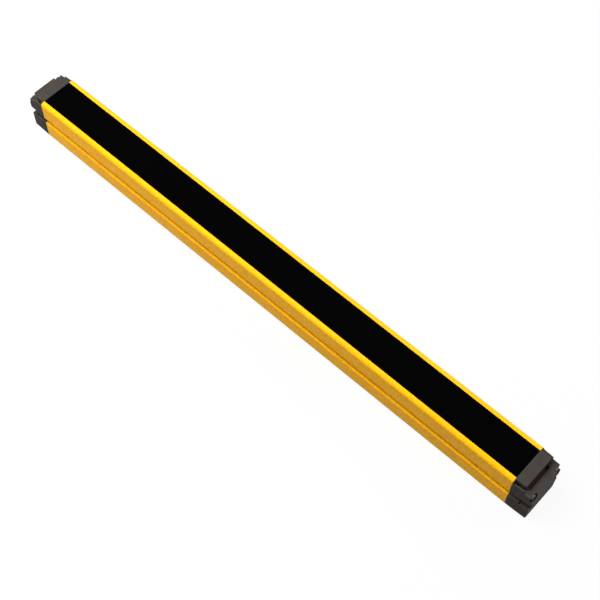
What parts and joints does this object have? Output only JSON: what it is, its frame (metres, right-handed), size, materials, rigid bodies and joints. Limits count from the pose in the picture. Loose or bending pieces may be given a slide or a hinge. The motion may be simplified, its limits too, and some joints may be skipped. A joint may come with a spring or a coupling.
{
  "type": "safety light curtain",
  "caption": "Long rectangular light curtain bar: yellow extruded housing with a black front window, side mounting slots and moulded end caps.",
  "frame": {"origin": "middle of the underside: the bar lies on its back, and the origin is at the centre of its back face", "axes": "+X along the bar, from the inlet end to the blank end; +Y across it; +Z from its back to its window"},
  "size_m": [0.59, 0.04, 0.048],
  "materials": {
    "yellow_paint": "fine satin powder coat",
    "window_black": "polished, infrared clear and visibly black",
    "cap_grey": "fine moulded texture",
    "black_rubber": "matt",
    "screw_steel": "blackened",
    "plated_metal": "nickel plated",
    "insert_black": "moulded",
    "contact_gold": "gold plated",
    "board_green": "solder mask",
    "ribbon_grey": "flexible cable",
    "carrier_black": "moulded",
    "lens_clear": "clear moulded optics",
    "emitter_clear": "tinted epoxy",
    "connector_black": "moulded",
    "chip_black": "moulded package",
    "coil_black": "ferrite",
    "can_aluminium": "drawn can",
    "lamp_white": "moulded"
  },
  "bodies": {
    "root": {"blank_cap_screw_left": "screw_steel", "blank_cap_screw_right": "screw_steel", "blank_end_cap": "cap_grey", "blank_end_gasket": "black_rubber", "board_link_1": "connector_black", "board_link_2": "connector_black", "board_link_3": "connector_black", "board_link_4": "connector_black", "board_stacker": "connector_black", "capacitors": "can_aluminium", "control_board": "board_green", "controllers": "chip_black", "emitter_board_1": "board_green", "emitter_board_2": "board_green", "emitter_board_3": "board_green", "emitter_board_4": "board_green", "emitter_board_5": "board_green", "emitter_group_1": "emitter_clear", "emitter_group_2": "emitter_clear", "emitter_group_3": "emitter_clear", "emitter_group_4": "emitter_clear", "emitter_group_5": "emitter_clear", "front_window": "window_black", "housing_profile": "yellow_paint", "inlet_board": "board_green", "inlet_cap_screw_left": "screw_steel", "inlet_cap_screw_right": "screw_steel", "inlet_contacts": "contact_gold", "inlet_end_cap": "cap_grey", "inlet_end_gasket": "black_rubber", "inlet_insert": "insert_black", "inlet_nut": "plated_metal", "inlet_ribbon": "ribbon_grey", "inlet_seal": "black_rubber", "inlet_shell": "plated_metal", "lamp_board": "board_green", "lens_strip_1": "lens_clear", "lens_strip_2": "lens_clear", "lens_strip_3": "lens_clear", "lens_strip_4": "lens_clear", "lens_strip_5": "lens_clear", "light_guide": "lens_clear", "optics_carrier_1": "carrier_black", "optics_carrier_2": "carrier_black", "optics_carrier_3": "carrier_black", "optics_carrier_4": "carrier_black", "optics_carrier_5": "carrier_black", "status_lamps": "lamp_white", "supply_coil": "coil_black", "window_seal_left": "black_rubber", "window_seal_right": "black_rubber"}
  },
  "joints": []
}
